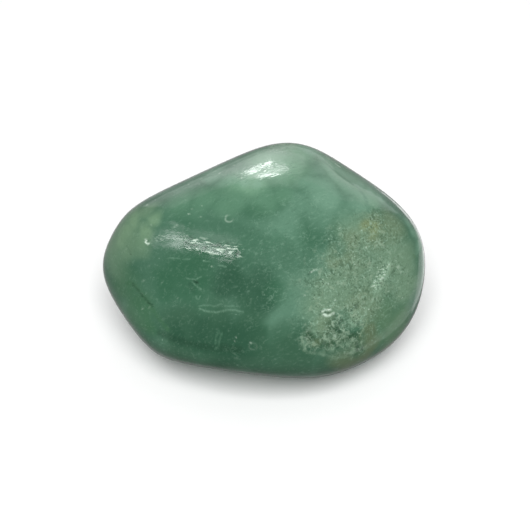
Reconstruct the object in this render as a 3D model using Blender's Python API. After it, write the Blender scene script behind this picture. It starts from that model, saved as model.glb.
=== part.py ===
# Tumbled stone: one pebble of polished green aventurine, worn to soft flats and resting on its base.
# The front of the stone faces -Y and its long side runs along X.
import math

import bpy
import numpy as np

mm = 0.001

# The rough blank, an egg-like body leaning back: half its length, half its depth and half its thickness
BLANK_HALF_LENGTH = 18.1 * mm
BLANK_HALF_DEPTH = 14.8 * mm
BLANK_HALF_THICKNESS = 12.4 * mm
BLANK_LEAN = math.radians(30)

# The foot is a worn face this far below the heart of the stone, with a small true flat cut just above it
FOOT_DEPTH = 9.6 * mm
FOOT_WEAR = 0.1 * mm

# Higher numbers leave tighter edges between two worn flats
FLAT_EDGE = 20.0
FOOT_EDGE = 12.0

# Five levels of splitting give 5,120 triangles about 1 mm across
SPHERE_LEVELS = 5

# Each worn flat: the bearing it faces (0 is the front, 90 the right end), how far it looks up,
# both in degrees, and its distance from the heart of the stone
FLATS = {
    "crown front": (-22, 68, 10.1 * mm),
    "crown left": (-115, 69, 11.2 * mm),
    "crown top": (180, 84, 11.4 * mm),
    "crown right": (40, 66, 10.8 * mm),
    "crown right back": (106, 61, 12.4 * mm),
    "face left": (-25, 38, 10.6 * mm),
    "face middle": (12, 36, 10.6 * mm),
    "face right": (36, 32, 11.5 * mm),
    "face left end": (-54, 30, 13.8 * mm),
    "shoulder back left": (-145, 42, 11.8 * mm),
    "shoulder left": (-115, 25, 15.7 * mm),
    "shoulder back": (180, 48, 13.5 * mm),
    "shoulder back right": (135, 38, 14.0 * mm),
    "shoulder right": (110, 20, 17.1 * mm),
    "right end": (82, -9, 18.6 * mm),
    "chin left": (-62, -27, 16.0 * mm),
    "chin middle": (-11, -47, 12.1 * mm),
    "chin right": (26, -45, 14.3 * mm),
    "chin right end": (52, -34, 17.3 * mm),
    "back": (165, 12, 13.3 * mm),
    "back left": (-140, 0, 14.8 * mm),
    "back right": (120, -20, 14.6 * mm),
}

# Each shallow hollow: the bearing and upward angle of its middle, its depth, and its spread in degrees
HOLLOWS = {
    "left of the crown": (-68, 53, 0.3 * mm, 15),
    "left of the face": (-40, 12, 0.3 * mm, 18),
    "right shoulder": (117, 39, 0.25 * mm, 9),
}

STONE_COLOUR = (0.105, 0.245, 0.16, 1.0)
STONE_ROUGHNESS = 0.2


def clear_scene():
    for thing in list(bpy.data.objects):
        bpy.data.objects.remove(thing, do_unlink=True)


def toward(bearing, upward):
    """The unit vector that looks along a bearing and up by an angle, both in degrees."""
    turn, lift = math.radians(bearing), math.radians(upward)
    return np.array([math.sin(turn) * math.cos(lift), -math.cos(turn) * math.cos(lift), math.sin(lift)])


def worn_distance(rays):
    """How far the worn surface lies from the heart of the stone along each ray of unit length.

    The blank and every flat each give one over their own distance, and a high power mean of
    these keeps the nearest surface and rounds the edges where two of them meet."""
    lean_back = np.array([0.0, math.cos(BLANK_LEAN), math.sin(BLANK_LEAN)])
    lean_up = np.array([0.0, -math.sin(BLANK_LEAN), math.cos(BLANK_LEAN)])
    blank = np.sqrt(
        (rays[:, 0] / BLANK_HALF_LENGTH) ** 2
        + (rays @ lean_back / BLANK_HALF_DEPTH) ** 2
        + (rays @ lean_up / BLANK_HALF_THICKNESS) ** 2
    )
    total = blank**FLAT_EDGE
    for bearing, upward, distance in FLATS.values():
        total += np.maximum(0.0, rays @ toward(bearing, upward) / distance) ** FLAT_EDGE
    foot = np.maximum(0.0, -rays[:, 2] / FOOT_DEPTH)
    worn = (total ** (FOOT_EDGE / FLAT_EDGE) + foot**FOOT_EDGE) ** (-1.0 / FOOT_EDGE)
    for bearing, upward, depth, spread in HOLLOWS.values():
        angle = np.degrees(np.arccos(np.clip(rays @ toward(bearing, upward), -1.0, 1.0)))
        worn -= depth * np.exp(-((angle / spread) ** 2))
    return worn


def wear(mesh):
    """Moves a unit sphere's points out to the worn surface, cuts the foot flat, and stands the
    stone on z = 0 with the origin under the middle of its box."""
    points = np.empty(len(mesh.vertices) * 3)
    mesh.vertices.foreach_get("co", points)
    points = points.reshape(-1, 3)
    rays = points / np.linalg.norm(points, axis=1, keepdims=True)
    points = rays * worn_distance(rays)[:, None]
    foot_level = FOOT_WEAR - FOOT_DEPTH
    points[:, 2] = np.maximum(points[:, 2], foot_level)
    middle = (points.min(axis=0) + points.max(axis=0)) / 2
    points -= np.array([middle[0], middle[1], foot_level])
    mesh.vertices.foreach_set("co", points.ravel())
    mesh.update()


def stone_material():
    material = bpy.data.materials.new("green aventurine")
    material.use_nodes = True
    shader = material.node_tree.nodes["Principled BSDF"]
    shader.inputs["Base Color"].default_value = STONE_COLOUR
    shader.inputs["Roughness"].default_value = STONE_ROUGHNESS
    shader.inputs["Metallic"].default_value = 0.0
    return material


def make_stone(collection):
    bpy.ops.mesh.primitive_ico_sphere_add(subdivisions=SPHERE_LEVELS, radius=1.0, location=(0, 0, 0))
    stone = bpy.context.object
    stone.name = "stone"
    stone.data.name = "stone"
    wear(stone.data)
    stone.data.shade_smooth()
    stone.data.materials.append(stone_material())
    for other in list(stone.users_collection):
        other.objects.unlink(stone)
    collection.objects.link(stone)
    return stone


clear_scene()
tumbled_stone = bpy.data.collections.new("tumbled stone")
bpy.context.scene.collection.children.link(tumbled_stone)
make_stone(tumbled_stone)
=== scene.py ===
# A tumbled pebble of green aventurine on a white floor under soft lamps.
# The front of the stone faces -Y and its long side runs along X. Lengths are in metres, and "mm" turns
# millimetres into metres. Places on the front are given by a pixel of the 530 x 530 photograph.
import math

import bpy
import numpy as np
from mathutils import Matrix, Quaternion, Vector


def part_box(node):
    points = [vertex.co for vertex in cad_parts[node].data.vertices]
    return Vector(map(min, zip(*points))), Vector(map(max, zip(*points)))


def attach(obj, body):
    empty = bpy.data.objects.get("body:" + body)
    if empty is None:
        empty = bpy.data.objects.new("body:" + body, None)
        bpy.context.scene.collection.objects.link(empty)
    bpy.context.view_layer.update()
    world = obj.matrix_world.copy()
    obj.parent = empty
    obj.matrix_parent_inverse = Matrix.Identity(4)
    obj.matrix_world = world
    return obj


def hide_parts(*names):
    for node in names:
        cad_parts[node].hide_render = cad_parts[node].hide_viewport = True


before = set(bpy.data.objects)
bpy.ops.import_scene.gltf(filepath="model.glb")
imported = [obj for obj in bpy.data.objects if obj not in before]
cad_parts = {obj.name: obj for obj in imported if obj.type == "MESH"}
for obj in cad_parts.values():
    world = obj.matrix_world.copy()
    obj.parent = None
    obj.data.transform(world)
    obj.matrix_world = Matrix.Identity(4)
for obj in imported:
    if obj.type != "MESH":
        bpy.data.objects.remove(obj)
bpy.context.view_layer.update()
mm = 0.001

# Camera: a long lens that looks down on the stone from the front
view = {
    "bearing": 0.0,  # 0 looks from -Y
    "upward": 42.0,  # degrees above the floor
    "distance": 137.0 * mm,  # from the aim point
    "aim": (0.22 * mm, -0.20 * mm, 9.17 * mm),
    "lens": 85.0,
    "sensor": 36.0,
    "pixels": 530,  # width and height of the photograph
    "nearest": 100.0 * mm,  # the stone lies between these two distances from the camera
    "farthest": 175.0 * mm,
    "steps": 60,  # along a ray in search of the stone
    "searches": 4,  # each within one step of the last
    "clip": 5.0 * mm,  # nothing nearer is seen
}


# The unit vector along a bearing (0 is the front, 90 the right end) and up by an angle, both in degrees
def toward(bearing, upward):
    turn, lift = math.radians(bearing), math.radians(upward)
    return np.array([math.sin(turn) * math.cos(lift), -math.cos(turn) * math.cos(lift), math.sin(lift)])


def makeCamera():
    camera = bpy.data.objects.new("camera", bpy.data.cameras.new("camera"))
    camera.data.lens = view["lens"]
    camera.data.sensor_width = view["sensor"]
    camera.data.clip_start = view["clip"]
    back = Vector(toward(view["bearing"], view["upward"]))
    camera.location = Vector(view["aim"]) + back * view["distance"]
    camera.rotation_euler = back.to_track_quat("Z", "Y").to_euler()
    bpy.context.scene.collection.objects.link(camera)
    bpy.context.scene.camera = camera
    bpy.context.view_layer.update()
    return camera


camera = makeCamera()
print("camera placed")

# The stone's form: a leaning egg-like blank that is worn to soft flats. Each flat has the bearing that it
# faces, how far it looks up (both in degrees), and its distance from the heart of the stone.
form = {
    "halfLength": 18.1 * mm,
    "halfDepth": 14.8 * mm,
    "halfThickness": 12.4 * mm,
    "lean": math.radians(30),
    "footDepth": 9.6 * mm,
    "footWear": 0.1 * mm,
    "flatEdge": 20.0,  # higher numbers leave tighter edges between two flats
    "footEdge": 12.0,
    "steps": 127,  # squares along each side of the six patches
    "fineSide": (0, 42, 0.45),  # bearing and upward angle of the side with finer squares, and the share
    "flats": {
        "crown front": (-22, 68, 10.1 * mm),
        "crown left": (-115, 69, 11.2 * mm),
        "crown top": (180, 84, 11.4 * mm),
        "crown right": (40, 66, 10.8 * mm),
        "crown right back": (106, 61, 12.4 * mm),
        "face left": (-25, 38, 10.6 * mm),
        "face middle": (12, 36, 10.6 * mm),
        "face right": (36, 32, 11.5 * mm),
        "face left end": (-54, 30, 13.8 * mm),
        "shoulder back left": (-145, 42, 11.8 * mm),
        "shoulder left": (-115, 25, 15.7 * mm),
        "shoulder back": (180, 48, 13.5 * mm),
        "shoulder back right": (135, 38, 14.0 * mm),
        "shoulder right": (110, 20, 17.1 * mm),
        "right end": (82, -9, 18.6 * mm),
        "chin left": (-62, -27, 16.0 * mm),
        "chin middle": (-11, -47, 12.1 * mm),
        "chin right": (26, -45, 14.3 * mm),
        "chin right end": (52, -34, 17.3 * mm),
        "back": (165, 12, 13.3 * mm),
        "back left": (-140, 0, 14.8 * mm),
        "back right": (120, -20, 14.6 * mm),
    },
    # bearing, upward angle, depth, spread in degrees
    "hollows": {
        "left of the crown": (-68, 53, 0.3 * mm, 15),
        "left of the face": (-40, 12, 0.3 * mm, 18),
        "right shoulder": (117, 39, 0.25 * mm, 9),
    },
}


# How far the worn surface lies from the heart along each unit ray. The blank and each flat give one over
# their own distance, a high power mean keeps the nearest and rounds the edges, and each hollow takes off
# a bell-shaped depth.
def wornDistance(rays):
    leanBack = np.array([0.0, math.cos(form["lean"]), math.sin(form["lean"])])
    leanUp = np.array([0.0, -math.sin(form["lean"]), math.cos(form["lean"])])
    blank = np.sqrt(
        (rays[:, 0] / form["halfLength"]) ** 2
        + (rays @ leanBack / form["halfDepth"]) ** 2
        + (rays @ leanUp / form["halfThickness"]) ** 2
    )
    flatEdge, footEdge = form["flatEdge"], form["footEdge"]
    total = blank**flatEdge
    for bearing, upward, distance in form["flats"].values():
        total += np.maximum(0.0, rays @ toward(bearing, upward) / distance) ** flatEdge
    foot = np.maximum(0.0, -rays[:, 2] / form["footDepth"])
    worn = (total ** (footEdge / flatEdge) + foot**footEdge) ** (-1 / footEdge)
    for bearing, upward, depth, spread in form["hollows"].values():
        angle = np.degrees(np.arccos(np.clip(rays @ toward(bearing, upward), -1.0, 1.0)))
        worn -= depth * np.exp(-((angle / spread) ** 2))
    return worn


# Unit rays over six square patches, each a function of two parameters u and v from -45 to 45 degrees:
# (tan u, tan v, 1) on a side of a cube, drawn out to the sphere. Corners that two patches share are
# counted once, so the skin is closed. A share of the way to the fine side is added to every ray before it
# is drawn out again, which crowds the squares there.
def cubeSphere(steps):
    count = steps + 1
    across, along = np.meshgrid(np.arange(count) * 2 - steps, np.arange(count) * 2 - steps, indexing="ij")
    edge = np.full_like(across, steps)
    index = np.arange(count * count).reshape(count, count)
    square = np.stack([index[:-1, :-1], index[1:, :-1], index[1:, 1:], index[:-1, 1:]], axis=-1)
    square = square.reshape(-1, 4)
    patches, squares = [], []
    for axis in range(3):
        for side in (1, -1):
            lattice = np.empty((count, count, 3), int)
            lattice[..., axis] = edge * side
            lattice[..., (axis + 1) % 3] = across
            lattice[..., (axis + 2) % 3] = along
            squares.append((square if side == 1 else square[:, ::-1]) + len(patches) * count * count)
            patches.append(lattice.reshape(-1, 3))
    lattice, where = np.unique(np.concatenate(patches), axis=0, return_inverse=True)
    corners = np.tan(lattice / steps * math.pi / 4)
    rays = corners / np.linalg.norm(corners, axis=1, keepdims=True)
    bearing, upward, share = form["fineSide"]
    rays += toward(bearing, upward) * share
    rays /= np.linalg.norm(rays, axis=1, keepdims=True)
    return rays, where.reshape(-1)[np.concatenate(squares)]


rays, squares = cubeSphere(form["steps"])
smooth = rays * wornDistance(rays)[:, None]
footLevel = form["footWear"] - form["footDepth"]
nodeLow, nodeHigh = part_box("stone")
heart = (np.array(nodeLow) + np.array(nodeHigh)) / 2 - (smooth.min(axis=0) + smooth.max(axis=0)) / 2
heart[2] = nodeLow[2] - footLevel
print("stone form worked out:", len(rays), "points, heart at", heart)


# The place on the smooth stone that a pixel of the photograph shows. The ray from the camera is followed
# in even steps until it is nearer to the heart than the worn surface, and the step on which it goes in is
# followed again in finer ones.
def onStone(x, y):
    turn = camera.matrix_world.to_3x3()
    half = view["pixels"] / 2
    reach = view["pixels"] * view["lens"] / view["sensor"]
    ray = np.array((turn @ Vector(((x - half) / reach, (half - y) / reach, -1.0))).normalized())
    start = np.array(camera.matrix_world.translation) - heart

    def outside(travel):
        points = start + np.outer(travel, ray)
        far = np.linalg.norm(points, axis=1)
        return far - wornDistance(points / far[:, None]) > 0

    near, far = view["nearest"], view["farthest"]
    for _ in range(view["searches"]):
        travel = np.linspace(near, far, view["steps"] + 1)
        inside = np.flatnonzero(~outside(travel))
        if len(inside) == 0:
            raise ValueError("no stone at pixel " + str((x, y)))
        near, far = travel[max(inside[0] - 1, 0)], travel[inside[0]]
    return heart + start + far * ray


# A colour from the red, green and blue that a screen shows, 0 to 255
def screen(red, green, blue):
    def linear(value):
        value /= 255
        return value / 12.92 if value <= 0.04045 else ((value + 0.055) / 1.055) ** 2.4

    return (linear(red), linear(green), linear(blue), 1.0)


finish = {
    "colours": {
        "green": screen(66, 102, 82),
        "deep": screen(50, 91, 68),
        "darker": screen(41, 77, 58),
        "dark": screen(30, 58, 42),
        "low": screen(53, 87, 67),
        "haze": screen(91, 126, 106),
        "top": screen(107, 143, 118),
        "between": screen(93, 123, 103),
        "leftEnd": screen(97, 126, 101),
        "leftFoot": screen(60, 98, 70),
        "lightSide": screen(104, 130, 107),
        "leaf": screen(84, 113, 87),
        "brown": screen(104, 123, 98),
        "earth": screen(88, 104, 78),
        "ochre": screen(118, 130, 94),
        "glassy": screen(52, 80, 58),
        "upper": screen(86, 123, 100),
        # also laid as painted glow under the crown and painted sheen on the rims
        "shoulder": screen(112, 146, 126),
        "endLight": screen(112, 140, 112),
        "pale": screen(144, 178, 156),
        # the pale of the right streak, a pale vein with a painted highlight along it
        "streak": screen(146, 174, 150),
        "crumb": screen(146, 171, 147),
        "gap": screen(56, 84, 62),
        # the near white of painted glints and highlights
        "glint": screen(205, 226, 208),
    },
    # Soft patches, laid in this order: colour, strength, and rounds, each a pixel and its radius in mm; a
    # few are painted glow, sheen or reflection
    "patches": {
        "top": ("top", 0.9, (
            (245, 180, 3.0), (275, 163, 4.0), (300, 150, 3.0), (345, 178, 3.4), (366, 194, 2.6),
        )),
        # partly the stone's hazy tone, partly a painted reflection of a soft light in front
        "haze": ("haze", 0.9, ((322, 206, 3.2), (350, 214, 2.4), (304, 205, 2.0), (290, 224, 2.0))),
        "left end": ("leftEnd", 1.0, (
            (114, 240, 3.0), (126, 222, 2.8), (128, 242, 2.2), (144, 210, 1.6), (141, 229, 1.5),
        )),
        "upper": ("upper", 0.9, (
            (180, 203, 2.2), (208, 201, 2.2), (234, 206, 2.0), (262, 202, 2.2), (281, 196, 1.6),
        )),
        "shoulder": ("shoulder", 0.65, (
            (316, 172, 1.2), (308, 182, 1.3), (320, 186, 1.8), (328, 200, 1.4), (336, 180, 1.4),
            (347, 187, 1.6), (358, 192, 1.4), (356, 203, 1.2), (330, 172, 1.0),
        )),
        # painted glow below the crown's highlight
        "crown foot": ("shoulder", 0.6, (
            (212, 172, 1.2), (211, 178, 1.1), (224, 180, 1.1), (238, 179, 0.9), (252, 180, 0.8),
        )),
        # painted sheen along the rims, where the polish reflects the light behind and beside the stone
        "crown rim": ("shoulder", 0.85, (
            (316, 154, 1.2), (330, 162, 1.2), (343, 172, 1.2), (357, 182, 1.0), (370, 191, 1.0),
            (383, 200, 0.9),
        )),
        "right rim": ("shoulder", 0.7, ((409, 222, 1.0), (414, 232, 1.0), (419, 245, 1.0))),
        "end light": ("endLight", 0.8, (
            (131, 220, 1.3), (122, 234, 1.2), (141, 236, 1.0), (154, 217, 1.0),
        )),
        "left end spot": ("leftEnd", 0.6, ((142, 246, 1.2), (118, 262, 2.0))),
        "left foot": ("leftFoot", 0.7, ((122, 286, 2.4), (135, 303, 2.2), (145, 315, 1.8))),
        "left cloud": ("deep", 0.9, ((180, 272, 2.8), (165, 282, 2.0), (196, 264, 1.8), (206, 284, 1.6))),
        "upper cloud": ("deep", 0.4, (
            (257, 215, 1.4), (186, 222, 2.0), (308, 240, 2.0), (284, 245, 1.6),
        )),
        "middle": ("green", 0.7, ((284, 257, 2.0), (303, 258, 1.8))),
        "middle side": ("deep", 0.8, ((273, 292, 1.6), (262, 336, 1.2))),
        "foot cloud": ("darker", 0.7, ((263, 344, 1.5), (265, 356, 1.7), (266, 368, 1.6))),
        "middle cloud": ("darker", 0.85, (
            (248, 288, 3.0), (234, 276, 2.2), (256, 298, 2.2), (229, 292, 1.6),
        )),
        "low": ("low", 0.85, (
            (180, 325, 2.8), (215, 324, 2.6), (246, 322, 2.2), (290, 346, 2.8), (255, 352, 3.0),
        )),
        "low foot": ("low", 0.9, ((300, 362, 3.0), (220, 356, 3.0), (180, 348, 3.0), (330, 368, 2.6))),
        "low cloud": ("darker", 0.95, (
            (234, 340, 3.0), (204, 341, 2.4), (178, 338, 1.6), (222, 350, 2.4),
        )),
        # partly the stone's hazy tone, partly a painted reflection of a soft light in front
        "haze foot": ("haze", 0.5, ((292, 311, 2.2), (303, 300, 1.8), (278, 318, 1.5))),
        "between": ("between", 0.5, ((308, 286, 2.0), (322, 266, 1.2))),
        "light": ("lightSide", 0.95, (
            (362, 240, 3.2), (384, 256, 3.6), (354, 268, 3.0), (374, 278, 3.6), (338, 290, 2.8),
        )),
        "light foot": ("lightSide", 0.95, (
            (352, 298, 3.0), (324, 306, 2.6), (326, 320, 2.0), (402, 264, 2.4), (404, 286, 2.2),
        )),
        "right foot": ("leaf", 0.9, ((386, 318, 2.4), (397, 322, 2.4), (376, 336, 2.0), (394, 336, 2.4))),
        "brown": ("brown", 0.8, ((374, 226, 2.2), (392, 224, 2.0), (354, 240, 1.4), (336, 260, 1.2))),
        "brown middle": ("brown", 0.6, ((352, 262, 1.4), (366, 308, 2.0), (330, 325, 1.4))),
        "earth": ("earth", 0.9, (
            (368, 332, 1.3), (369, 345, 1.6), (361, 356, 1.8), (315, 341, 0.8), (346, 364, 1.8),
        )),
        "ochre": ("ochre", 0.75, ((363, 227, 0.8), (374, 231, 0.9))),
        "glassy": ("glassy", 1.0, (
            (329, 343, 1.7), (342, 340, 1.7), (336, 331, 1.2), (352, 340, 1.1), (310, 334, 0.7),
        )),
    },
    # Where the grain is strong, and where it is middling
    "grain": (
        (376, 236, 3.4), (354, 258, 3.8), (334, 284, 4.0), (330, 318, 3.6), (384, 276, 3.4),
        (360, 306, 3.6),
    ),
    "speckle": (
        (285, 245, 5.0), (266, 285, 3.4), (310, 225, 4.5), (225, 265, 2.6),
    ),
    # The glassy zone with pale curls, and the pale lumps in it
    "glassyZone": (
        (312, 342, 1.4), (328, 345, 1.6), (343, 345, 1.6), (354, 342, 1.2), (340, 332, 1.3),
        (356, 318, 1.0),
    ),
    "lumps": (
        (335, 336, 0.5), (327, 341, 0.45), (340, 342, 0.5), (349, 343, 0.5), (346, 336, 0.4),
        (332, 349, 0.45), (323, 352, 0.4), (352, 351, 0.5), (310, 330, 0.4), (306, 345, 0.5),
        (357, 314, 0.6), (353, 323, 0.6),
    ),
    # Fine strokes: colour, strength, half width in mm, depth of its groove in mm, and its pixels; some
    # are painted highlights, shade or reflection edges
    "strokes": {
        "scratch top": ("pale", 0.24, 0.1, 0.004, ((199, 306), (208, 305), (216, 306), (222, 304))),
        "scratch end": ("pale", 0.18, 0.1, 0.003, ((225, 306), (234, 306))),
        "scratch foot": ("pale", 0.3, 0.12, 0.005, (
            (199, 308.5), (206, 311), (215, 312.4), (226, 310), (235, 310), (243, 312),
        )),
        "crack arc": ("pale", 0.3, 0.1, 0.006, ((186, 278), (194.5, 279.5), (201, 277))),
        "crack leg": ("pale", 0.28, 0.1, 0.006, ((192, 282), (196, 286), (201, 289.5))),
        "crack dark": ("dark", 0.9, 0.2, 0.012, ((194, 281), (197, 282.5))),
        "crack shade": ("darker", 0.6, 0.35, 0.0, ((191, 285), (192.5, 290))),
        "loop": ("pale", 0.31, 0.09, 0.008, ((196, 296), (197, 299), (199.5, 299), (200, 296))),
        "face tick": ("pale", 0.3, 0.1, 0.004, ((168, 258.5), (174, 258.2), (179, 258.9))),
        "face tick two": ("pale", 0.26, 0.1, 0.004, ((183, 259.5), (190, 259))),
        "face tick three": ("pale", 0.3, 0.1, 0.004, ((203, 260.5), (210, 261.5))),
        "face tick four": ("pale", 0.3, 0.1, 0.004, ((219, 265), (226, 266.5))),
        # the inner edge of the floor's reflection along the lower left, painted as darker lines
        "left contour": ("leftFoot", 0.8, 0.3, 0.0, (
            (128, 283), (134.7, 284.7), (141, 293), (150, 305.5), (160, 320), (168, 330),
        )),
        "left dark": ("dark", 0.75, 0.15, 0.008, (
            (133, 284), (138, 290), (143, 296.5), (149, 303), (153, 306),
        )),
        "left tick": ("dark", 0.5, 0.11, 0.004, ((127, 247), (131, 254))),
        "low shade": ("dark", 0.5, 0.5, 0.0, (
            (160, 333), (172, 338), (186, 343), (206, 347), (226, 348), (240, 350),
        )),
        "low arc": ("upper", 0.5, 0.11, 0.0, ((219, 330), (216, 337), (215, 344))),
        "low arc two": ("upper", 0.5, 0.11, 0.0, ((222, 333), (219.5, 340), (219, 346), (215, 349))),
        # The right streak: a pale vein with a painted highlight along it
        "streak": ("streak", 0.9, 0.65, 0.0, ((387, 266), (383, 276), (377, 287))),
        "vein": ("pale", 0.22, 0.17, 0.0, (
            (375, 290), (373, 300), (368, 308), (364, 316), (367, 319), (365.7, 326), (361, 333),
        )),
        "curl": ("pale", 0.34, 0.17, 0.006, (
            (349, 322), (354, 325.5), (360, 322), (363, 317), (358, 313),
        )),
        "foot arc": ("crumb", 0.2, 0.2, 0.0, (
            (303, 334), (303.5, 345), (307, 352), (320, 354), (335, 358), (350, 356), (361, 348),
        )),
        "earth line": ("ochre", 0.37, 0.11, 0.0, (
            (367.5, 319), (365.7, 326), (361.3, 332), (359.5, 337),
        )),
        "grain lines": ("pale", 0.22, 0.12, 0.0, ((324, 260), (330, 258), (334, 262))),
        "rim streak": ("pale", 0.37, 0.12, 0.006, ((305, 147.6), (317, 151), (328, 157))),
        # strokes in the glint colour are painted highlights
        "rim glint": ("glint", 0.64, 0.17, 0.016, ((336, 164), (340, 167))),
        # the inner edge of the rim's reflection, painted in the haze colour
        "rim contour": ("haze", 0.8, 0.3, 0.004, (
            (323, 161), (335, 171), (344, 178), (358, 188), (365, 197), (369, 211),
        )),
        "crown streak": ("pale", 0.19, 0.15, 0.004, ((276, 152.5), (290, 150.5), (300, 151.5))),
        "ochre ticks": ("ochre", 0.5, 0.11, 0.008, ((378, 223), (382, 225), (386, 224))),
        "ochre tick two": ("ochre", 0.5, 0.11, 0.008, ((379, 230), (382, 232), (385, 231))),
        "face glint": ("glint", 0.56, 0.11, 0.012, ((311, 272), (314, 270), (317, 269.5))),
        # the face pit's bright top and foot are painted highlights, and its middle is painted shade
        "face pit top": ("glint", 0.8, 0.15, 0.0, ((321.5, 311.5), (325, 309.7), (330, 309.7))),
        "face pit foot": ("glint", 0.9, 0.18, 0.0, ((323.5, 315), (329, 315.8), (333.5, 313.5))),
        "face pit shade": ("dark", 0.7, 0.14, 0.02, ((325, 312.7), (330, 312.7))),
        "face crack": ("dark", 0.7, 0.11, 0.008, ((308, 274), (311, 271))),
        "right tick": ("leaf", 0.8, 0.15, 0.008, ((410, 252), (413, 255), (415, 257))),
    },
    # Pits with a raised lip: pixel of the middle, radius of the lip in mm, strength, and the side where
    # the lip carries a painted highlight, as pixels to the right and down. The middle of each pit gets
    # painted shade.
    "rings": {
        "upper pit": (229.5, 218, 0.46, 0.26, (-4.8, 4.0)),
        "ridge end pit": (147.7, 241, 0.30, 1.0, (-2.4, 3.2)),
        "low pit": (253, 346, 0.38, 0.07, (0.0, 4.0)),
    },
    # Painted glints, as small pale dots: pixel and radius in mm
    "dots": (
        (202, 206, 0.08), (189, 214, 0.1), (192, 209, 0.1), (201, 217, 0.08), (190, 223, 0.1),
        (151, 226, 0.08), (174, 227, 0.1), (177, 225, 0.1), (172, 228, 0.08), (147, 205, 0.13),
        (155, 200, 0.08), (174, 192, 0.1), (188.5, 184.7, 0.11), (200.6, 179, 0.13),
        (214.5, 171.5, 0.16), (219.7, 173, 0.14), (234, 165, 0.11), (143, 281, 0.11), (162, 282, 0.08),
        (149, 265.5, 0.1), (211.6, 266.3, 0.11), (142.5, 308.5, 0.11), (149.5, 308, 0.11),
        (178, 298, 0.1), (236, 337, 0.1), (234.5, 341, 0.1), (250.8, 343, 0.14), (328.6, 283.5, 0.1),
        (305.5, 295, 0.1), (383.5, 247, 0.13), (392, 243, 0.13), (395, 250, 0.1), (373, 299, 0.13),
        (377, 298, 0.13), (364, 302, 0.11), (307.7, 331, 0.14), (305.5, 338, 0.14), (335, 335.5, 0.18),
        (353, 252, 0.1), (345, 322, 0.08), (398, 267, 0.16), (401, 272, 0.13), (126, 249, 0.11),
    ),
    "pitDepth": 0.05,  # mm, of a pit of full strength
    "lipRise": 0.3,  # share of the pit's depth by which its lip stands up
    # Where the polish is broken, strandy, satin or brushed: the pixels of a path. The broken and strandy
    # places also get painted glints.
    "brokenRidge": ((188, 242.5), (212, 247.5), (237, 251.5)),
    "ridgeStrands": ((158, 238), (172, 237.5), (190, 240.5)),
    "satinRidge": ((156, 234), (180, 236), (204, 238), (228, 243)),
    "brokenStreak": ((384, 269), (380, 278), (376, 286)),
    "brushedCrown": ((246, 174), (284, 168)),
    "depthOfColour": (0.985, 1.055, 1.02),  # what red, green and blue are multiplied by
    "back": (4.0, 9.0),  # mm behind the middle: where the back's own speckle begins and is full
    # How far a pattern reaches and where it is full: shares of a round's radius or of a stroke's half
    # width, or mm from a path or a lip
    "edges": {
        "patches": (1.3, 0.3),
        "grain": (1.4, 0.2),
        "speckle": (1.2, 0.3),
        "glassyZone": (1.15, 0.6),
        "lumps": (1.4, 0.3),
        "dots": (1.6, 0.3),
        "brokenRidge": (1.0, 0.4),
        "ridgeStrands": (0.55, 0.15),
        "satinRidge": (1.9, 0.5),
        "brokenStreak": (0.75, 0.25),
        "brushedCrown": (2.2, 0.8),
        "strokes": (1.3, 0.2),
        "lip": (0.15, 0.02),
    },
    # Slow clouds: radians per mm, the sums of three waves at which one begins and is full, and strength
    "clouds": {
        "haze": (0.45, 0.2, 1.8, 0.6),
        "deep": (0.585, 0.4, 2.0, 0.55),
        "backGrain": (0.42, 0.2, 1.6, 1.0),
    },
    "backLight": 0.6,  # strength of the lighter colour in the back's grain
    "backSpeckle": 0.5,  # least strength of the speckle on the back
    "lumpLight": 0.25,  # strength of the lumps' colour
    "dotStrength": (0.22, 0.14),  # mean and swing
    "dotTurns": (5.0, 3.0, 4.0),  # radians per mm of that swing along each axis
    "strokeStrength": (0.72, 0.28, 5.0),  # mean, swing and radians per mm
    "crownSatin": 0.5,  # how satin the crown is
    "strandShare": 0.45,  # how broken the strands are, beside the broken ridge
    # Length and reach in mm of the waves that push the patterns about
    "waves": {
        "patches": (5.0, 0.55),
        "lumps": (1.6, 0.16),
        "marks": (1.0, 0.03),
        "clouds": (14.0, 5.0),
        "backGrain": (7.0, 3.5),
        "strokeStrength": (0.8, 0.4),
    },
    "seed": 7,  # of those waves
    # Noise in the material: scale per mm, detail and roughness
    "noises": {
        "wisps": (3.2, 4.0, 0.65),
        "flecks": (4.5, 2.0, 0.6),
        "patchy": (0.8, 3.0, 0.6),
        "granules": (1.6, 2.5, 0.62),
        "fibres": (0.9, 2.0, 0.6),
        "curls": (1.3, 2.0, 0.5),
        "dashes": (4.6, 2.0, 0.55),
        "scuffs": (4.2, 2.0, 0.55),
        "brushed": (1.7, 2.0, 0.5),
        "waviness": (0.8, 2.0, 0.5),
    },
    # Scale per mm and reach in mm of the noise that pushes a pattern about
    "pushes": {
        "granules": (1.2, 0.5),
        "crystals": (1.6, 0.8),
        "fibres": (2.0, 0.3),
        "sparks": (5.0, 0.25),
        "darkFlecks": (4.0, 0.3),
        "curls": (1.5, 0.5),
        "dashes": (0.7, 0.3),
        "scuffs": (0.7, 0.3),
    },
    # Cells per mm
    "cells": {"crystals": 1.7, "sparks": 1.9, "darkFlecks": 1.3},
    # Which way a pattern is drawn out, in degrees across the floor, and how many times longer it gets
    "drawnOut": {
        "wisps": (35, 2.2),
        "sparks": (20, 1.5),
        "darkFlecks": (-35, 2.0),
        "dashes": (-12, 4.0),
        "scuffs": (28, 3.5),
        "brushed": (30, 3.0),
    },
    # Strength of a pattern everywhere, and what the speckle and the grain add
    "strengths": {
        "paleWisps": (0.13, 0.08, 0.22),
        "darkWisps": (0.15, 0.05, 0.16),
        "paleFlecks": (0.04, 0.12, 0.4),
        "darkFlecks": (0.1, 0.1, 0.55),
        "fibres": (0.08, 0.1, 0.0),
        "sparks": (0.28, -0.15, 0.2),
        "sparkChance": (0.0, 0.12, 0.16),
    },
    # Roughness of the polish, and what the grain, the satin and the patches add
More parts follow.
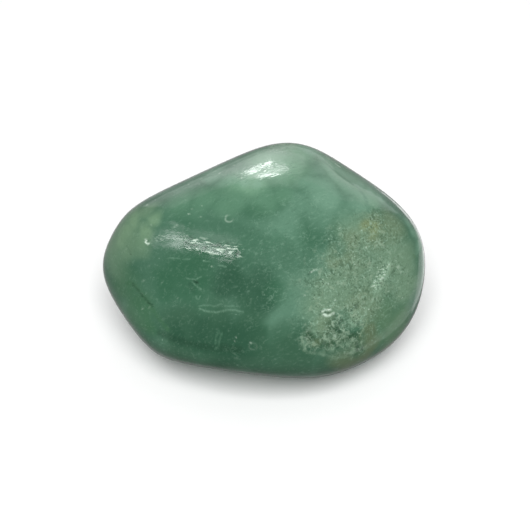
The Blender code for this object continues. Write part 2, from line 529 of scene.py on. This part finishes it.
    "roughness": {"polish": 0.11, "grain": 0.07, "satin": 0.10, "patchy": 0.03},
    # Relief too fine for the mesh: its full height, and the share that each pattern has of it
    "relief": {
        "height": 0.5 * mm,
        "waviness": 0.05,
        "flecks": 0.004,
        "grain": 0.008,
        "dashes": 0.09,
        "brushed": 0.03,
        "scuffs": 0.034,
    },
    "ior": 1.33,  # of the polish
}


# The place of a pixel on the stone, in millimetres
def spot(x, y):
    return onStone(x, y) / mm


# 0 below low, 1 above high, and a soft step between them; low may be the larger
def softStep(values, low, high):
    share = np.clip((values - low) / (high - low), 0.0, 1.0)
    return share * share * (3 - 2 * share)


# Points pushed about by ten waves in chance directions, of about the length and reach given, in mm
def pushed(points, length, reach):
    push = np.zeros_like(points)
    for _ in range(10):
        run = chance.normal(size=3)
        run *= chance.uniform(0.6, 1.8) * 2 * math.pi / length / np.linalg.norm(run)
        push += np.outer(np.sin(points @ run + chance.uniform(0, 6.3)), chance.normal(size=3))
    return points + push * reach / math.sqrt(10)


# How near the closest of some rounds is: 0 at a round's middle and 1 at its edge
def nearestRound(points, rounds):
    shares = [np.linalg.norm(points - spot(x, y), axis=1) / radius for x, y, radius in rounds]
    return np.min(shares, axis=0)


# How far the closest part of a stroke is, in mm
def nearestStroke(points, pixels):
    spots = [spot(x, y) for x, y in pixels]
    nearest = np.full(len(points), np.inf)
    for start, end in zip(spots[:-1], spots[1:]):
        run = end - start
        share = np.clip((points - start) @ run / (run @ run), 0.0, 1.0)
        nearest = np.minimum(nearest, np.linalg.norm(points - start - np.outer(share, run), axis=1))
    return nearest


# Lays a colour over the tones by a strength for each point
def lay(tones, colour, strength):
    tones += (np.array(finish["colours"][colour])[:3] - tones) * strength[:, None]


# How strong a pattern of rounds, or one along a path, is at each point
def onRounds(points, name):
    return softStep(nearestRound(points, finish[name]), *finish["edges"][name])


def onPath(points, name):
    return softStep(nearestStroke(points, finish[name]), *finish["edges"][name])


# How strong a slow cloud is: the sum of a wave, a sine or a cosine, along each axis, over a level
def cloud(wave, points, name):
    turns, low, high, strength = finish["clouds"][name]
    return softStep(wave(points * turns).sum(axis=1), low, high) * strength


# What each point of the skin carries: its colour, with painted highlights, glow and shade in places; how
# strong the grain, the speckle and the broken polish with its painted glints are; how strong the painted
# glints, the brushed crown and the glassy zone are; how satin the polish is; and how deep it lies below
# the smooth stone, in mm
def paint(points):
    waves = finish["waves"]
    bent = pushed(points, *waves["patches"])
    ragged = pushed(points, *waves["lumps"])
    unsteady = pushed(points, *waves["marks"])

    # Colours: slow clouds, the patches of the face (some of them painted glow, sheen or reflection), and
    # a lighter grain on the back
    tones = np.tile(np.array(finish["colours"]["green"])[:3], (len(points), 1))
    clouds = pushed(points, *waves["clouds"])
    lay(tones, "haze", cloud(np.sin, clouds, "haze"))
    lay(tones, "deep", cloud(np.cos, clouds, "deep"))
    for colour, strength, rounds in finish["patches"].values():
        lay(tones, colour, softStep(nearestRound(bent, rounds), *finish["edges"]["patches"]) * strength)
    behind = softStep(points[:, 1], *finish["back"])
    backGrain = behind * cloud(np.sin, pushed(points, *waves["backGrain"]), "backGrain")
    lay(tones, "lightSide", backGrain * finish["backLight"])
    grain = np.maximum(onRounds(bent, "grain"), backGrain)
    speckle = np.max([onRounds(bent, "speckle"), grain, behind * finish["backSpeckle"]], axis=0)
    glassy = onRounds(bent, "glassyZone")
    lay(tones, "crumb", onRounds(ragged, "lumps") * finish["lumpLight"])

    # Painted glint dots, and strokes, of uneven strength
    mean, swing = finish["dotStrength"]
    glints = onRounds(unsteady, "dots") * (mean + swing * np.sin(points @ finish["dotTurns"]))
    mean, swing, turns = finish["strokeStrength"]
    uneven = mean + swing * np.sin(pushed(points, *waves["strokeStrength"]).sum(axis=1) * turns)
    depth = np.zeros(len(points))
    for colour, strength, width, groove, pixels in finish["strokes"].values():
        mark = softStep(nearestStroke(unsteady, pixels) / width, *finish["edges"]["strokes"]) * uneven
        depth += mark * groove
        # strokes in the glint colour are painted highlights and go with the glints
        if colour == "glint":
            glints = np.maximum(glints, mark * strength)
        else:
            lay(tones, colour, mark * strength)

    # Round pits with a raised lip, a painted highlight on one side of the lip and painted shade in the
    # middle
    for x, y, radius, strength, side in finish["rings"].values():
        away = np.linalg.norm(unsteady - spot(x, y), axis=1)
        toPaintedHighlight = np.linalg.norm(unsteady - spot(x + side[0], y + side[1]), axis=1)
        lip = softStep(np.abs(away - radius), *finish["edges"]["lip"])
        glints = np.maximum(glints, lip * softStep(toPaintedHighlight, radius * 2.4, radius * 1.2) * strength)
        lay(tones, "darker", softStep(away, radius * 0.8, radius * 0.2) * strength * 0.5)
        sunk = softStep(away, radius, radius * 0.3) - lip * finish["lipRise"]
        depth += sunk * finish["pitDepth"] * strength

    tones *= finish["depthOfColour"]
    strands = onPath(points, "ridgeStrands") * finish["strandShare"]
    brokenWithGlints = np.max([onPath(points, "brokenRidge"), onPath(points, "brokenStreak"), strands], axis=0)
    crown = onPath(points, "brushedCrown")
    satin = np.maximum(crown * finish["crownSatin"], onPath(points, "satinRidge"))
    zones = np.stack([grain, speckle, brokenWithGlints], axis=1)
    marks = np.stack([glints, crown, glassy], axis=1)
    return tones, zones, marks, np.stack([satin, satin, satin], axis=1), depth


def makeStone():
    points = smooth + heart
    tones, zones, marks, satin, depth = paint(points / mm)
    points -= rays * depth[:, None] * mm
    points[:, 2] = np.maximum(points[:, 2], nodeLow[2])
    mesh = bpy.data.meshes.new("polishedStone")
    mesh.from_pydata(points.tolist(), [], squares.tolist())
    mesh.validate()
    mesh.shade_smooth()
    for name, values in (("tone", tones), ("zones", zones), ("marks", marks), ("satin", satin)):
        carried = mesh.attributes.new(name, "FLOAT_VECTOR", "POINT")
        carried.data.foreach_set("vector", values.astype(np.float32).ravel())
    piece = bpy.data.objects.new("polishedStone", mesh)
    bpy.context.scene.collection.objects.link(piece)
    return piece


chance = np.random.default_rng(finish["seed"])
stone = makeStone()
print("polished stone made:", len(stone.data.polygons), "squares")


# A shader socket. Operators on it add Math nodes, and node() adds any other.
class Wire:
    def __init__(self, socket):
        self.socket = socket

    # kind is the node's type, settings are set first, then inputs are linked or given their value
    def node(self, kind, settings, inputs, output=0):
        tree = self.socket.id_data
        made = tree.nodes.new("ShaderNode" + kind)
        for name, value in settings.items():
            setattr(made, name, value)
        for name, value in inputs.items():
            if isinstance(value, Wire):
                tree.links.new(value.socket, made.inputs[name])
            else:
                made.inputs[name].default_value = value
        return Wire(made.outputs[output])

    def math(self, operation, first, second=0.0):
        return self.node("Math", {"operation": operation}, {0: first, 1: second})

    def __add__(self, other):
        return self.math("ADD", self, other)

    def __radd__(self, other):
        return self.math("ADD", other, self)

    def __sub__(self, other):
        return self.math("SUBTRACT", self, other)

    def __rsub__(self, other):
        return self.math("SUBTRACT", other, self)

    def __mul__(self, other):
        return self.math("MULTIPLY", self, other)

    def __rmul__(self, other):
        return self.math("MULTIPLY", other, self)

    def size(self):
        return self.math("ABSOLUTE", self)

    # 0 below low, 1 above high, and a soft step between them; low may be the larger
    def step(self, low, high):
        if low > high:
            return 1 - self.step(high, low)
        inputs = {"Value": self, "From Min": low, "From Max": high}
        return self.node("MapRange", {"interpolation_type": "SMOOTHSTEP"}, inputs)

    # Vector Math with this socket as the first vector
    def vector(self, operation, other):
        second = 3 if operation == "SCALE" else 1
        return self.node("VectorMath", {"operation": operation}, {0: self, second: other})

    # The three numbers of a vector
    def parts(self):
        return [self.node("SeparateXYZ", {}, {0: self}, axis) for axis in range(3)]

    # This colour with another laid over it by a factor
    def under(self, colour, factor):
        return self.node("Mix", {"data_type": "RGBA"}, {0: factor, 6: self, 7: colour}, 2)

    def noise(self, scale, detail=2.0, roughness=0.5, output=0):
        inputs = {"Vector": self, "Scale": scale, "Detail": detail, "Roughness": roughness}
        return self.node("TexNoise", {}, inputs, output)

    # Distance or colour of the cell pattern here
    def cells(self, scale, feature="F1", output="Distance"):
        return self.node("TexVoronoi", {"feature": feature}, {"Vector": self, "Scale": scale}, output)

    # These coordinates pushed about by noise
    def pushed(self, scale, reach):
        push = self.noise(scale, output="Color").vector("SUBTRACT", (0.5, 0.5, 0.5))
        return self.vector("ADD", push.vector("SCALE", reach))

    # Coordinates in which patterns come out drawn out along a direction across the floor
    def drawnOut(self, degrees, times):
        turn = (0.0, 0.0, math.radians(degrees))
        inputs = {"Vector": self, "Rotation": turn, "Scale": (times, 1.0, 1.0)}
        return self.node("Mapping", {"vector_type": "TEXTURE"}, inputs)


def stoneMaterial():
    material = bpy.data.materials.new("polished aventurine")
    material.use_nodes = True
    tree = material.node_tree
    shader = tree.nodes["Principled BSDF"]
    place = Wire(tree.nodes.new("ShaderNodeTexCoord").outputs["Object"]).vector("SCALE", 1 / mm)
    tint, noises, drawnOut = finish["colours"], finish["noises"], finish["drawnOut"]
    pushes, cells = finish["pushes"], finish["cells"]

    # What the mesh carries at each point
    def carried(name, output="Vector"):
        return place.node("Attribute", {"attribute_name": name}, {}, output)

    tone, satin = carried("tone"), carried("satin", "Fac")
    grain, speckle, brokenWithGlints = carried("zones").parts()
    glints, crown, glassy = carried("marks").parts()

    def strength(name):
        everywhere, inSpeckle, inGrain = finish["strengths"][name]
        return everywhere + speckle * inSpeckle + grain * inGrain

    # Grain: short wisps and flecks everywhere, stronger where the zones say so
    wisps = place.drawnOut(*drawnOut["wisps"]).noise(*noises["wisps"])
    flecks = place.noise(*noises["flecks"])
    patchy = place.noise(*noises["patchy"])
    inPatches = patchy.step(0.35, 0.6)
    colour = tone.under(tint["pale"], wisps.step(0.52, 0.74) * strength("paleWisps"))
    colour = colour.under(tint["dark"], wisps.step(0.46, 0.26) * strength("darkWisps"))
    colour = colour.under(tint["pale"], flecks.step(0.58, 0.70) * inPatches * strength("paleFlecks"))
    colour = colour.under(tint["dark"], flecks.step(0.42, 0.31) * inPatches * strength("darkFlecks"))
    granules = place.pushed(*pushes["granules"]).noise(*noises["granules"])
    crumbs, gaps = granules.step(0.54, 0.68), granules.step(0.46, 0.34)
    colour = colour.under(tint["crumb"], crumbs * patchy.step(0.38, 0.6) * grain * 0.48)
    colour = colour.under(tint["gap"], gaps * patchy.step(0.3, 0.6) * grain * 0.8)
    colour = colour.under(tint["brown"], patchy.step(0.48, 0.66) * grain * 0.2)

    # Crystal edges in the grain, and short curved fibres where a noise is near its middle
    edge = place.pushed(*pushes["crystals"]).cells(cells["crystals"], "DISTANCE_TO_EDGE").step(0.07, 0.01)
    colour = colour.under(tint["pale"], edge * flecks.step(0.44, 0.6) * grain * 0.5)
    fibre = (place.pushed(*pushes["fibres"]).noise(*noises["fibres"]) - 0.5).size().step(0.024, 0.004)
    colour = colour.under(tint["pale"], fibre * patchy.step(0.5, 0.62) * strength("fibres"))

    # Sparks: a tiny pale fleck in the few cells of a fine cell pattern that draw a high number
    sparkPlace = place.drawnOut(*drawnOut["sparks"])
    drawn = sparkPlace.cells(cells["sparks"], "F1", "Color")
    draw = place.node("SeparateColor", {}, {0: drawn}, 0) + strength("sparkChance")
    spark = sparkPlace.pushed(*pushes["sparks"]).cells(cells["sparks"]).step(0.20, 0.05)
    spark = spark * draw.step(0.87, 0.93)
    colour = colour.under(tint["pale"], spark * strength("sparks"))
    # in the grain the sparks also get the glint colour: painted glints
    colour = colour.under(tint["glint"], spark * grain * 0.3)

    # Dark flecks in the grain: more than a third of the cells of a coarser pattern have one
    fleckPlace = place.drawnOut(*drawnOut["darkFlecks"])
    drawn = fleckPlace.cells(cells["darkFlecks"], "F1", "Color")
    lot = place.node("SeparateColor", {}, {0: drawn}, 1)
    fleck = fleckPlace.pushed(*pushes["darkFlecks"]).cells(cells["darkFlecks"]).step(0.24, 0.08)
    fleck = fleck * lot.step(0.6, 0.7)
    colour = colour.under(tint["gap"], fleck * grain * 0.6)

    # The glassy zone: pale curls and crumbs over dark green glass
    curl = (place.pushed(*pushes["curls"]).noise(*noises["curls"]) - 0.5).size()
    colour = colour.under(tint["crumb"], curl.step(0.05, 0.01) * glassy * 0.3)
    colour = colour.under(tint["crumb"], granules.step(0.57, 0.67) * glassy * 0.3)
    colour = colour.under(tint["dark"], granules.step(0.46, 0.36) * glassy * 0.4)
    # Painted glints: the dots, the glint strokes and the bright side of the pit lips
    colour = colour.under(tint["glint"], glints * flecks.step(0.25, 0.5))

    # Painted glints as bright dashes, and dark dashes, where the polish broke, and fine scuffs on the
    # crown
    dashes = place.pushed(*pushes["dashes"]).drawnOut(*drawnOut["dashes"]).noise(*noises["dashes"])
    colour = colour.under(tint["glint"], dashes.step(0.55, 0.63) * brokenWithGlints * 0.6)
    colour = colour.under(tint["dark"], dashes.step(0.47, 0.37) * brokenWithGlints * 0.55)
    scuffs = place.pushed(*pushes["scuffs"]).drawnOut(*drawnOut["scuffs"]).noise(*noises["scuffs"])
    colour = colour.under(tint["green"], scuffs.step(0.48, 0.38) * crown * 0.4)
    tree.links.new(colour.socket, shader.inputs["Base Color"])

    # Polish: even, and rougher in the grain, in patches and where it is satin
    polish = finish["roughness"]
    rough = polish["polish"] + grain * polish["grain"] + satin * polish["satin"]
    rough = rough + patchy.step(0.5, 0.75) * polish["patchy"]
    tree.links.new(rough.socket, shader.inputs["Roughness"])

    # Relief: a slow waviness, grain, and the broken, brushed and scuffed places
    relief = finish["relief"]
    brushed = place.drawnOut(*drawnOut["brushed"]).noise(*noises["brushed"])
    height = place.noise(*noises["waviness"]) * relief["waviness"]
    height = height + flecks * (relief["flecks"] + grain * relief["grain"])
    height = height + dashes * brokenWithGlints * relief["dashes"]
    height = height + brushed * crown * relief["brushed"] + scuffs * crown * relief["scuffs"]
    inputs = {"Strength": 1.0, "Distance": relief["height"], "Height": height}
    bump = place.node("Bump", {}, inputs)
    tree.links.new(bump.socket, shader.inputs["Normal"])
    shader.inputs["IOR"].default_value = finish["ior"]
    return material


stone.data.materials.append(stoneMaterial())
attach(stone, "root")
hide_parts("stone")
print("stone finished")

# The floor: a wide white sheet that the camera sees, and a greyer one a hair below it that only the
# polish reflects
stage = {
    "half": 2.0,  # half its width
    "white": 0.92,  # how white the sheet that the camera sees is
    "reflected": 0.43,  # and the other one
    "below": 0.01 * mm,  # how far that one lies below
    "roughness": 0.9,
    "specular": 0.1,
}


def makeFloor(name, level, grey):
    half = stage["half"]
    mesh = bpy.data.meshes.new(name)
    corners = [(-half, -half, level), (half, -half, level), (half, half, level), (-half, half, level)]
    mesh.from_pydata(corners, [], [(0, 1, 2, 3)])
    floor = bpy.data.objects.new(name, mesh)
    material = bpy.data.materials.new(name)
    material.use_nodes = True
    shader = material.node_tree.nodes["Principled BSDF"]
    shader.inputs["Base Color"].default_value = (grey, grey, grey, 1.0)
    shader.inputs["Roughness"].default_value = stage["roughness"]
    shader.inputs["Specular IOR Level"].default_value = stage["specular"]
    mesh.materials.append(material)
    bpy.context.scene.collection.objects.link(floor)
    floor.visible_diffuse = False
    floor.visible_shadow = False
    return floor


makeFloor("floor", 0.0, stage["white"]).visible_glossy = False
makeFloor("reflectedFloor", -stage["below"], stage["reflected"]).visible_camera = False

# Lamps: bearing and upward angle from the stone, distance, width, height, roll, brightness, and use. A
# "light" lamp lights the matt surfaces, a "shine" lamp only makes highlights on the polish, and a "floor
# shine" lamp does so lying on the floor and facing up. The camera sees none of them.
lamps = {
    "front": (0, 58, 1.0, 0.62, 0.55, 0, 10.0, "light"),
    "crownUpper": (-170, 30, 0.9, 0.19, 0.06, 32, 34.0, "shine"),
    "crownLower": (-174, 48, 0.9, 0.14, 0.09, 10, 43.0, "shine"),
    "crownMiddle": (-171, 41, 0.9, 0.24, 0.22, 0, 3.4, "shine"),
    "crownRight": (177, 39, 0.9, 0.08, 0.08, 0, 15.0, "shine"),
    "crownGlow": (-170, 36, 1.0, 0.30, 0.9, 0, 0.6, "shine"),
    "crownGlowWide": (-170, 36, 1.01, 0.42, 1.0, 0, 0.6, "shine"),
    "crownGlowWider": (-171, 36, 1.02, 0.56, 1.0, 0, 0.4, "shine"),
    "crownWide": (-178, 42, 1.0, 0.62, 0.90, 0, 1.0, "shine"),
    "backWall": (176, 24, 1.0, 1.3, 1.1, 0, 0.9, "shine"),
    "leftLamp": (-56, 43, 0.9, 0.19, 0.24, 0, 18.0, "shine"),
    "leftTail": (-65, 30, 0.9, 0.28, 0.10, 45, 6.0, "shine"),
    "leftGlow": (-79, 59, 0.9, 0.20, 0.12, 0, 4.0, "shine"),
    "rightFloor": (107, -8, 0.080, 0.10, 0.055, 0, 1.5, "floor shine"),
    "rightNear": (82, -8, 0.065, 0.07, 0.05, 0, 1.2, "floor shine"),
}
surround = 0.36  # the grey that lies all round
floorLampLevel = 0.1 * mm  # above the floor


def makeLamps():
    for name, (bearing, upward, distance, width, height, roll, brightness, use) in lamps.items():
        light = bpy.data.lights.new(name, "AREA")
        light.shape = "RECTANGLE"
        light.size, light.size_y = width, height
        light.energy = brightness * math.pi * width * height
        lamp = bpy.data.objects.new(name, light)
        away = Vector(toward(bearing, upward))
        lamp.location = Vector(heart) + away * distance
        turned = away.to_track_quat("Z", "Y") @ Quaternion((0, 0, 1), math.radians(roll))
        if use == "floor shine":
            lamp.location.z = floorLampLevel
            turned = Quaternion((1, 0, 0), math.pi)
        lamp.rotation_euler = turned.to_euler()
        lamp.visible_camera = False
        lamp.visible_glossy = use != "light"
        lamp.visible_diffuse = use == "light"
        bpy.context.scene.collection.objects.link(lamp)
    world = bpy.data.worlds.new("surround")
    world.use_nodes = True
    background = world.node_tree.nodes["Background"]
    background.inputs["Color"].default_value = (surround, surround, surround, 1.0)
    bpy.context.scene.world = world


makeLamps()
bpy.context.scene.view_settings.view_transform = "Standard"
print("floor and lamps set")
